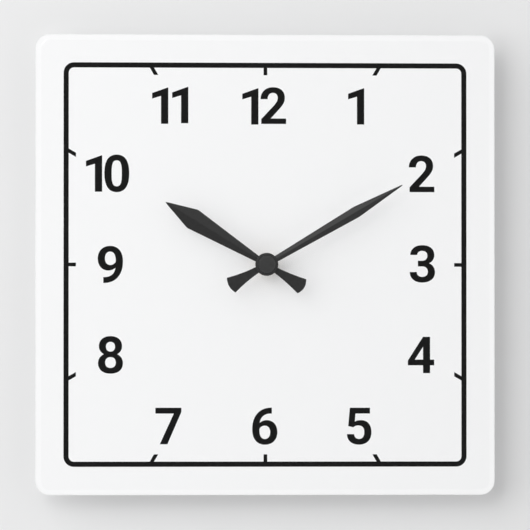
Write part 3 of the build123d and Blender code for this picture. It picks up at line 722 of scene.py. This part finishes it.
def cap_disc():
    """Satin disc raised from the cap, with a fine lip and a shallow groove inside it; its paint is
    lighter than the ring's, a painted highlight.
    """
    front = CAP_LOW.y
    foot = front + CAP_DISC_THICK
    profile = [
        (0, front + FACE_DEPTH), (FACE_R, front + FACE_DEPTH),
        (GROOVE_INNER_R, front + GROOVE_DEPTH), (GROOVE_OUTER_R, front + GROOVE_DEPTH),
        (LIP_R, front), (CAP_DISC_R, front), (CAP_DISC_R, foot), (0, foot),
    ]
    radii = [0, 0.2 * MM, 0.1 * MM, 0.1 * MM, 0.08 * MM, 0.22 * MM, 0.05 * MM, 0]
    bm = bmesh.new()
    lathe(bm, ARBOR, rounded(profile, radii), CAP_SEGMENTS, closed=False)
    piece = make_piece("hand_cap_disc", bm, "centre_cap", sharp_angle=60)
    # the disc's lighter paint is a painted highlight
    piece.data.materials[0] = MATERIALS["cap_disc_paint_and_highlight"]


cap_ring()
cap_disc()


# ---------------------------------------------------------------- stack on the arbor
THREAD_PITCH = 0.75 * MM
THREAD_DEPTH = 0.42 * MM
THREAD_SEGMENTS = 72
ROWS_PER_PITCH = 8
GROOVE_SLOPE = 1.25                       # steepness of the thread's flanks
CREST_FLAT = 0.1                          # share of the depth that the crest is cut off
BUSH_R = 4.0 * MM
BUSH_BORE_R = 2.55 * MM
FLANGE_THICK = 0.8 * MM
NUT_LEAD_IN = 0.35 * MM
NUT_RIM = 0.97                            # radius of the flat face, in half widths across flats
NUT_CHAMFER = math.tan(math.radians(30))


def thread_radius(down, turn_share):
    """Radius of the thread at a depth below its start and a share of a turn."""
    phase = (down / THREAD_PITCH - turn_share) % 1
    groove = min(1, max(0, GROOVE_SLOPE * (1 - abs(2 * phase - 1)) - CREST_FLAT))
    lead_in = BUSH_R - THREAD_DEPTH + down
    return min(BUSH_R - THREAD_DEPTH * groove, lead_in)


def threaded_bush():
    """Brass bush with its helical thread and a flange inside the movement case."""
    low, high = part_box("threaded_bush")
    flange_r = half_width(low, high)
    thread_end = high.y - FLANGE_THICK
    rows = round((thread_end - low.y) / (THREAD_PITCH / ROWS_PER_PITCH))
    bm = bmesh.new()
    loops = []
    for k in range(rows + 1):
        y = low.y + (thread_end - low.y) * k / rows
        points = []
        for i in range(THREAD_SEGMENTS):
            a = FULL_TURN * i / THREAD_SEGMENTS
            radius = thread_radius(y - low.y, i / THREAD_SEGMENTS)
            points.append((ARBOR.x + radius * math.sin(a), y, ARBOR.z + radius * math.cos(a)))
        loops.append(add_loop(bm, points))
    for radius, y in ((flange_r, thread_end), (flange_r, high.y), (BUSH_BORE_R, high.y),
                      (BUSH_BORE_R, low.y)):
        loops.append(add_loop(bm, ring(ARBOR, radius, y, THREAD_SEGMENTS)))
    bridge_all(bm, loops)
    make_piece("bush_threaded", bm, "threaded_bush", sharp_angle=45)


def hex_loop(flat, face_y, inwards):
    """Edge where the flats of a hex nut meet the turned chamfer of one face."""
    points = []
    for i in range(TURNED_SEGMENTS):
        a = FULL_TURN * i / TURNED_SEGMENTS
        radius = flat / math.cos((a + math.pi / 6) % (math.pi / 3) - math.pi / 6)
        y = face_y + inwards * (radius - NUT_RIM * flat) * NUT_CHAMFER
        points.append((ARBOR.x + radius * math.sin(a), y, ARBOR.z + radius * math.cos(a)))
    return points


def clamp_nut():
    """Hex nut with turned chamfers on both faces."""
    low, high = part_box("clamp_nut")
    flat = min((high.z - low.z) / 2, half_width(low, high))
    rim = NUT_RIM * flat
    face_circles = [
        ring(ARBOR, BUSH_R, low.y + NUT_LEAD_IN, TURNED_SEGMENTS),
        ring(ARBOR, BUSH_R + NUT_LEAD_IN, low.y, TURNED_SEGMENTS),
        ring(ARBOR, rim, low.y, TURNED_SEGMENTS),
        hex_loop(flat, low.y, 1),
        hex_loop(flat, high.y, -1),
        ring(ARBOR, rim, high.y, TURNED_SEGMENTS),
        ring(ARBOR, BUSH_R, high.y, TURNED_SEGMENTS),
    ]
    bm = bmesh.new()
    bridge_all(bm, [add_loop(bm, points) for points in face_circles])
    make_piece("nut_hex", bm, "clamp_nut", sharp_angle=25)


def flat_ring(name, node, inner_r, corner_r):
    """Washer or gasket with rounded edges, as large as its node."""
    low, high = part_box(node)
    outer_r = half_width(low, high)
    turned(name, node, [(inner_r, low.y), (outer_r, low.y), (outer_r, high.y), (inner_r, high.y)],
           corner_r)


COLLAR_CHAMFER = 0.12 * MM


def collar(name, node, inner_r):
    """Brass collar of a hand, with fine chamfers."""
    low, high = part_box(node)
    outer_r = half_width(low, high)
    chamfer = COLLAR_CHAMFER
    turned(name, node, [
        (inner_r, low.y), (outer_r - chamfer, low.y), (outer_r, low.y + chamfer),
        (outer_r, high.y - chamfer), (outer_r - chamfer, high.y), (inner_r, high.y),
    ], radii=0)


threaded_bush()
clamp_nut()
flat_ring("washer_flat", "clamp_washer", CLAMP_HOLE_R, 0.1 * MM)
flat_ring("gasket_ring", "rubber_gasket", CLAMP_HOLE_R, 0.25 * MM)
collar("hour_collar", "hour_hand_bush", 2.5 * MM)
collar("minute_collar", "minute_hand_bush", 1.4 * MM)


# ---------------------------------------------------------------- hanger
HANGER_SHEET = 0.8 * MM
HANGER_TAB_HALF = 12 * MM
HANGER_BEND_R = 0.8 * MM                  # of the sheet's middle
HANGER_BEND = HANGER_BEND_R * math.pi / 2      # length of sheet in one bend
HANGER_BEND_STEPS = 8
HANGER_SHELF_Z = ARBOR.z + 28 * MM
NAIL_HOLE_R = 4 * MM
HANGER_FOOT_R = 4 * MM
HANGER_SHOULDER_R = 3 * MM
HANGER_NOTCH_R = 0.8 * MM
HANGER_NOTCH = 0.4 * MM                   # the shoulders stop this far below the first bend
HANGER_EDGE_R = 0.12 * MM


class HangerSheet:
    """Lengths along the hanger's flat sheet from its foot, and where its layers stand."""

    def __init__(self):
        low, plate_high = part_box("hanger_plate")
        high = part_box("hanger_tab")[1]
        self.foot_z = low.z
        self.plate_half = half_width(low, plate_high)
        self.front_y = low.y + HANGER_SHEET / 2
        self.tab_y = high.y - HANGER_SHEET / 2
        self.first_bend = HANGER_SHELF_Z - HANGER_BEND_R - low.z
        self.shelf = self.first_bend + HANGER_BEND
        self.second_bend = self.shelf + self.tab_y - self.front_y - 2 * HANGER_BEND_R
        self.tab = self.second_bend + HANGER_BEND
        total = self.tab + high.z - (HANGER_SHELF_Z + HANGER_BEND_R)
        self.nail_at = total - HANGER_TAB_HALF
        self.clamp_at = ARBOR.z - low.z

    def outline(self):
        """Border of the flat sheet: a plate with shoulders, and an arched tab above."""
        shoulder = self.first_bend - HANGER_NOTCH
        plate, tab = self.plate_half, HANGER_TAB_HALF
        right = [(-plate, 0), (plate, 0), (plate, shoulder), (tab, shoulder)]
        left = [(-tab, shoulder), (-plate, shoulder)]
        arch = arc_points((0, self.nail_at), tab, 0, 180, 32)
        radii = [HANGER_FOOT_R, HANGER_FOOT_R, HANGER_SHOULDER_R, HANGER_NOTCH_R]
        radii += [0] * len(arch) + [HANGER_NOTCH_R, HANGER_SHOULDER_R]
        return rounded(right + arch + left, radii, steps=8)

    def bent(self, s):
        """Place (y, z) of the sheet's middle at a length along it."""
        if s < self.first_bend:
            return self.front_y, self.foot_z + s
        if s < self.shelf:
            a = (s - self.first_bend) / HANGER_BEND_R
            return (self.front_y + HANGER_BEND_R * (1 - math.cos(a)),
                    HANGER_SHELF_Z - HANGER_BEND_R * (1 - math.sin(a)))
        if s < self.second_bend:
            return self.front_y + HANGER_BEND_R + s - self.shelf, HANGER_SHELF_Z
        if s < self.tab:
            a = (s - self.second_bend) / HANGER_BEND_R
            return (self.tab_y - HANGER_BEND_R * (1 - math.sin(a)),
                    HANGER_SHELF_Z + HANGER_BEND_R * (1 - math.cos(a)))
        return self.tab_y, HANGER_SHELF_Z + HANGER_BEND_R + s - self.tab


def flat_sheet(sheet):
    """The hanger before it is bent, with its two holes and cuts across each bend."""
    bm = bmesh.new()
    edges = []
    for loop in (sheet.outline(), circle_points((0, sheet.clamp_at), CLAMP_HOLE_R),
                 circle_points((0, sheet.nail_at), NAIL_HOLE_R)):
        verts = [bm.verts.new((u, s, 0)) for u, s in loop]
        for i, vert in enumerate(verts):
            edges.append(bm.edges.new((vert, verts[(i + 1) % len(verts)])))
    bmesh.ops.triangle_fill(bm, edges=edges, use_beauty=True)
    for start in (sheet.first_bend, sheet.second_bend):
        for k in range(HANGER_BEND_STEPS + 1):
            everything = bm.verts[:] + bm.edges[:] + bm.faces[:]
            cut_at = start + HANGER_BEND * k / HANGER_BEND_STEPS
            bmesh.ops.bisect_plane(bm, geom=everything, plane_co=(0, cut_at, 0),
                                   plane_no=(0, 1, 0))
    return bm


def thicken(bm, thickness):
    """Give an open sheet its thickness, half to each side."""
    bmesh.ops.recalc_face_normals(bm, faces=bm.faces)
    middle_faces = bm.faces[:]
    bm.normal_update()
    normals = {vert: vert.normal.copy() for vert in bm.verts}
    twin = {}
    for vert, normal in normals.items():
        twin[vert] = bm.verts.new(vert.co - normal * thickness / 2)
        vert.co = vert.co + normal * thickness / 2
    rim = [edge for edge in bm.edges if len(edge.link_faces) == 1]
    for face in middle_faces:
        bm.faces.new([twin[vert] for vert in reversed(face.verts)])
    for edge in rim:
        a, b = edge.verts
        bm.faces.new((a, b, twin[b], twin[a]))


def hanger():
    """Steel hanger cut from one sheet: a clamped plate, bent back and up to the nail tab."""
    sheet = HangerSheet()
    bm = flat_sheet(sheet)
    for vert in bm.verts:
        vert.co = (vert.co.x, *sheet.bent(vert.co.y))
    bmesh.ops.dissolve_limit(bm, angle_limit=math.radians(0.5), verts=bm.verts, edges=bm.edges)
    thicken(bm, HANGER_SHEET)
    bevel_sharp(bm, HANGER_EDGE_R, angle=60)
    piece = make_piece("hanger_sheet", bm, "hanger_plate", sharp_angle=40)
    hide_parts("hanger_shelf", "hanger_tab")


hanger()


# ---------------------------------------------------------------- battery
CELL_SKIN = 0.04 * MM                     # the band stands this far out of the jacket
CELL_LIP = 0.12 * MM
CELL_LIP_WIDTH = 1.5 * MM
CELL_TOP_WIDTH = 2.1 * MM
CELL_SHOULDER_R = 0.8 * MM
BAND_FROM = 13 * MM                       # both measured from the button end
BAND_TO = 2.2 * MM
BASE_OVERLAP = 0.3 * MM
BASE_RIM_WIDTH = 1.3 * MM
BASE_SLOPE = 0.3 * MM
BASE_THICK = 1 * MM
BASE_SETBACK = 0.02 * MM
BUTTON_R = 2.7 * MM
BUTTON_PLATE_R = 4.8 * MM


def turned_along_x(name, node, profile, radii, slot=None, closed=False):
    """Turned piece about the battery's own line."""
    low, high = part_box("battery_cell")
    bm = bmesh.new()
    lathe(bm, (low + high) / 2, rounded(profile, radii), closed=closed, axis="X")
    return make_piece(name, bm, node, slot=slot)


def battery():
    """One AA cell: film jacket with a plain band, and its metal base."""
    low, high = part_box("battery_cell")
    radius = (high.z - low.z) / 2
    jacket_r = radius - CELL_SKIN
    lip_r = radius - CELL_LIP_WIDTH
    top_r = radius - CELL_TOP_WIDTH
    turned_along_x("cell_film", "battery_cell", [
        (lip_r, low.x + CELL_LIP), (lip_r, low.x), (jacket_r, low.x), (jacket_r, high.x),
        (top_r, high.x), (top_r, high.x - CELL_LIP),
    ], [0, 0.05 * MM, CELL_SHOULDER_R, CELL_SHOULDER_R, 0.05 * MM, 0])

    band_inner_r = jacket_r - CELL_SKIN
    band_left, band_right = high.x - BAND_FROM, high.x - BAND_TO
    band = turned_along_x("cell_band", "battery_cell", [
        (band_inner_r, band_left), (radius, band_left), (radius, band_right),
        (band_inner_r, band_right),
    ], 0.02 * MM, closed=True)
    band.data.materials[0] = MATERIALS["cell_band"]

    base_r = lip_r + BASE_OVERLAP
    dish_r = base_r - BASE_RIM_WIDTH
    rim_x = low.x + BASE_SLOPE
    turned_along_x("cell_base", "battery_cell", [
        (0, low.x + BASE_SETBACK), (dish_r - BASE_SLOPE, low.x + BASE_SETBACK), (dish_r, rim_x),
        (base_r, rim_x), (base_r, low.x + BASE_THICK), (0, low.x + BASE_THICK),
    ], 0.1 * MM, slot="cell_metal")


def battery_button():
    """Metal button on its round plate."""
    low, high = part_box("battery_button")
    plate_front = low.x + 0.25 * MM
    plate_back = low.x - 0.2 * MM
    turned_along_x("cell_button", "battery_button", [
        (0, high.x), (BUTTON_R, high.x), (BUTTON_R, low.x + 0.3 * MM),
        (BUTTON_PLATE_R, plate_front), (BUTTON_PLATE_R, plate_back), (0, plate_back),
    ], [0, 0.45 * MM, 0.25 * MM, 0.1 * MM, 0, 0])


battery()
battery_button()


# ---------------------------------------------------------------- back cover with engraved marks
MARK_DEPTH = 0.4 * MM
MARK_WIDTH = 0.9 * MM
ARROW_HEAD = 2.2 * MM
ARROW_REACH = 48                          # degrees to each side of the top
ARROW_CLEARANCE = 2.6 * MM                # from the knob's edge
SIGN_ARM = 1.7 * MM
SIGN_INSET = 7 * MM
SIGN_HEIGHT = 3.4 * MM
COVER_EDGE_R = 0.12 * MM


def prism(outline, front, back):
    """Solid cutter with an (x, z) outline between two depths."""
    bm = bmesh.new()
    near = add_loop(bm, [(x, front, z) for x, z in outline])
    far = add_loop(bm, [(x, back, z) for x, z in outline])
    bridge(bm, near, far)
    bm.faces.new(near)
    bm.faces.new(far)
    bmesh.ops.recalc_face_normals(bm, faces=bm.faces)
    return new_object("cutter", bm)


def bar(centre, half_x, half_z):
    """Corners of a rectangle round a point."""
    x, z = centre
    return [(x - half_x, z - half_z), (x + half_x, z - half_z), (x + half_x, z + half_z),
            (x - half_x, z + half_z)]


def clean_copy(mesh):
    """Copy of a mesh with its doubled points joined and its flat faces whole."""
    bm = bmesh.new()
    bm.from_mesh(mesh)
    bmesh.ops.remove_doubles(bm, verts=bm.verts, dist=WELD_DISTANCE)
    bmesh.ops.dissolve_limit(bm, angle_limit=FLAT_ANGLE, verts=bm.verts, edges=bm.edges)
    return bm


def turning_arrow(centre, radius, reach):
    """Outline of an arc over the knob with an arrow head at each end."""
    half = MARK_WIDTH / 2
    head = math.degrees(ARROW_HEAD / radius)
    outer = arc_points(centre, radius + half, 90 - reach, 90 + reach, 24)
    inner = arc_points(centre, radius - half, 90 + reach, 90 - reach, 24)
    heads = []
    for side in (1, -1):
        base = 90 + side * reach
        wide = [on_circle(centre, radius + off, base) for off in (3 * half, -3 * half)]
        point = on_circle(centre, radius, base + side * head)
        heads.append([wide[0], point, wide[1]] if side > 0 else [wide[1], point, wide[0]])
    return outer + heads[0] + inner + heads[1]


def mark_outlines(low, high):
    """Outlines of the turning arrow round the knob, and of a plus and a minus sign."""
    knob_low, knob_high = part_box("setting_knob")
    knob = ((knob_low.x + knob_high.x) / 2, (knob_low.z + knob_high.z) / 2)
    arrow_r = half_width(knob_low, knob_high) + ARROW_CLEARANCE
    plus = (high.x - SIGN_INSET, low.z + SIGN_HEIGHT)
    minus = (low.x + SIGN_INSET, low.z + SIGN_HEIGHT)
    half = MARK_WIDTH / 2
    return [turning_arrow(knob, arrow_r, ARROW_REACH), bar(plus, SIGN_ARM, half),
            bar(plus, half, SIGN_ARM), bar(minus, SIGN_ARM, half)]


def back_cover():
    """Cover of the movement, its edges rounded and its marks cut in."""
    low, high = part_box("back_cover")
    cutters = [prism(outline, high.y - MARK_DEPTH, high.y + MM)
               for outline in mark_outlines(low, high)]
    blank = new_object("cover_blank", clean_copy(frame["nodes"]["back_cover"].data))
    for cutter in cutters:
        cut = blank.modifiers.new("cut", "BOOLEAN")
        cut.object = cutter
        cut.operation = "DIFFERENCE"
        cut.solver = "EXACT"
    engraved = blank.evaluated_get(bpy.context.evaluated_depsgraph_get())
    bm = clean_copy(bpy.data.meshes.new_from_object(engraved))
    for spent in [blank] + cutters:
        bpy.data.objects.remove(spent)
    bevel_sharp(bm, COVER_EDGE_R, angle=40)
    make_piece("cover_moulding", bm, "back_cover", sharp_angle=40)


back_cover()


# ---------------------------------------------------------------- CAD nodes kept, edges softened
SOFTENED = {
    "movement_case": 0.2 * MM, "setting_knob": 0.08 * MM, "train_plate": 0.1 * MM,
    "train_bridge": 0.1 * MM, "stator_plate": 0.05 * MM, "coil_former": 0.1 * MM,
    "coil_screws": 0.05 * MM, "circuit_board": 0.05 * MM,
    "battery_contact_minus": 0.05 * MM, "battery_contact_plus": 0.05 * MM,
}
SOFTEN_FROM = math.radians(40)


def soften(node, width):
    """Round a CAD node's sharp edges with modifiers, which leave its own mesh alone."""
    piece = frame["nodes"][node]
    weld = piece.modifiers.new("join_faces", "WELD")
    weld.merge_threshold = WELD_DISTANCE
    flatten = piece.modifiers.new("clean_flats", "DECIMATE")
    flatten.decimate_type = "DISSOLVE"
    flatten.angle_limit = FLAT_ANGLE
    bevel = piece.modifiers.new("round_edges", "BEVEL")
    bevel.width = width
    bevel.segments = 2
    bevel.limit_method = "ANGLE"
    bevel.angle_limit = SOFTEN_FROM
    normals = piece.modifiers.new("even_normals", "WEIGHTED_NORMAL")
    normals.keep_sharp = True


for softened_node, edge_width in SOFTENED.items():
    soften(softened_node, edge_width)


# ---------------------------------------------------------------- studio
WALL_REACH = 0.62
WALL_COLOUR = (0.795, 0.797, 0.8)
FLOOR_DROP = 1.6
FLOOR_REACH = 12.0
FLOOR_COLOUR = (0.93, 0.932, 0.935)

ROOM_FRONT = 0.745                        # strengths of the room's light
ROOM_BACK = 0.62
ROOM_DARK = 0.05
BACKDROP = 0.8
DARK_DIRECTION = Vector((0, -1, -0.12)).normalized()
DARK_FROM = 0.86                          # cosines of the angle to that direction
DARK_TO = 0.975
HALVES_BLEND = 0.1

CAMERA_AZIMUTH = math.radians(-4)
CAMERA_ELEVATION = math.radians(-1)
CAMERA_DISTANCE = 4.0
CAMERA_LENS = 458                         # mm, on a 36 mm wide sensor
CAMERA_SENSOR = 36
CAMERA_AIM = Vector((ARBOR.x - 0.1 * MM, PANEL_BACK, ARBOR.z - 0.15 * MM))
CLIP_END = 50


def backdrop(name, corners, colour):
    """Plain pale sheet, seen from its front only. The room's light passes through it."""
    bm = bmesh.new()
    bm.faces.new(add_loop(bm, corners))
    piece = new_object(name, bm)
    material = surface(name + "_paint", colour, 0.9, mottle=0.004, mottle_scale=30,
                       specular=0.1, grain=0.02 * MM, grain_scale=900)
    geometry = add_node(material.node_tree, "ShaderNodeNewGeometry")
    clear_where(material.node_tree, geometry.outputs["Backfacing"])
    piece.data.materials.append(material)
    piece.visible_diffuse = False
    piece.visible_glossy = False
    piece.visible_shadow = False


def wall_and_floor():
    """Wall behind the clock, and the floor below it."""
    reach = WALL_REACH
    low, high = PANEL_MIDDLE.z - reach, PANEL_MIDDLE.z + reach
    backdrop("studio_wall", [(-reach, WALL_Y, low), (reach, WALL_Y, low), (reach, WALL_Y, high),
                             (-reach, WALL_Y, high)], WALL_COLOUR)
    reach = FLOOR_REACH
    floor_z = PANEL_MIDDLE.z - FLOOR_DROP
    backdrop("studio_floor", [(-reach, -reach, floor_z), (reach, -reach, floor_z),
                              (reach, reach, floor_z), (-reach, reach, floor_z)], FLOOR_COLOUR)


def place_object(name, data, location, facing):
    """Camera or light at a place, turned to look along a direction."""
    placed = bpy.data.objects.new(name, data)
    bpy.context.scene.collection.objects.link(placed)
    placed.location = location
    placed.rotation_mode = "QUATERNION"
    placed.rotation_quaternion = facing.to_track_quat("-Z", "Y")
    return placed


def soft_light(name, location, size, power):
    """Square soft light on the dial that shows only by what it lights."""
    data = bpy.data.lights.new(name, "AREA")
    data.shape = "RECTANGLE"
    data.size = size
    data.size_y = size
    data.energy = power
    light = place_object(name, data, location, PANEL_MIDDLE - Vector(location))
    light.visible_camera = False
    return light


def facing_share(tree, place, direction):
    """Cosine of the angle between the seen direction and a given one."""
    cosine = add_node(tree, "ShaderNodeVectorMath", {1: direction}, operation="DOT_PRODUCT")
    link(tree, place, cosine.inputs[0])
    return cosine.outputs["Value"]


def studio_world():
    """Even pale room light, dimmer behind the wall and dark where the camera stands."""
    world = bpy.data.worlds.new("studio")
    bpy.context.scene.world = world
    world.use_nodes = True
    tree = world.node_tree
    background = tree.nodes["Background"]
    set_inputs(background, {"Color": (1, 1, 1, 1)})
    place = add_node(tree, "ShaderNodeTexCoord").outputs["Generated"]
    halves = ramp_over(tree, facing_share(tree, place, (0, -1, 0)), -HALVES_BLEND, HALVES_BLEND,
                       ROOM_BACK, ROOM_FRONT)
    dimmed = ramp_over(tree, facing_share(tree, place, DARK_DIRECTION), DARK_FROM, DARK_TO,
                       1, ROOM_DARK, smooth=True)
    strength = add_node(tree, "ShaderNodeMath", operation="MULTIPLY")
    link(tree, halves, strength.inputs[0])
    link(tree, dimmed, strength.inputs[1])
    rays = add_node(tree, "ShaderNodeLightPath")
    seen = add_node(tree, "ShaderNodeMix", {"B": BACKDROP}, data_type="FLOAT")
    link(tree, rays.outputs["Is Camera Ray"], seen.inputs["Factor"])
    link(tree, strength.outputs["Value"], seen.inputs["A"])
    link(tree, seen.outputs["Result"], background.inputs["Strength"])


def camera():
    """Long lens a little left of and below the middle of the dial."""
    data = bpy.data.cameras.new("camera")
    data.sensor_width = CAMERA_SENSOR
    data.lens = CAMERA_LENS
    data.clip_end = CLIP_END
    away = Vector((math.sin(CAMERA_AZIMUTH) * math.cos(CAMERA_ELEVATION),
                   -math.cos(CAMERA_AZIMUTH) * math.cos(CAMERA_ELEVATION),
                   math.sin(CAMERA_ELEVATION)))
    place = CAMERA_AIM + away * CAMERA_DISTANCE
    bpy.context.scene.camera = place_object("camera", data, place, -away)


wall_and_floor()
studio_world()
camera()
key_light = soft_light("key_light", (-1.95, -1.6, 0.75), size=3.0, power=53)
key_light.visible_glossy = False
soft_light("sheen_light", (-0.8, -2.8, 1.0), size=0.9, power=6.5)
bpy.context.scene.view_settings.view_transform = "Standard"
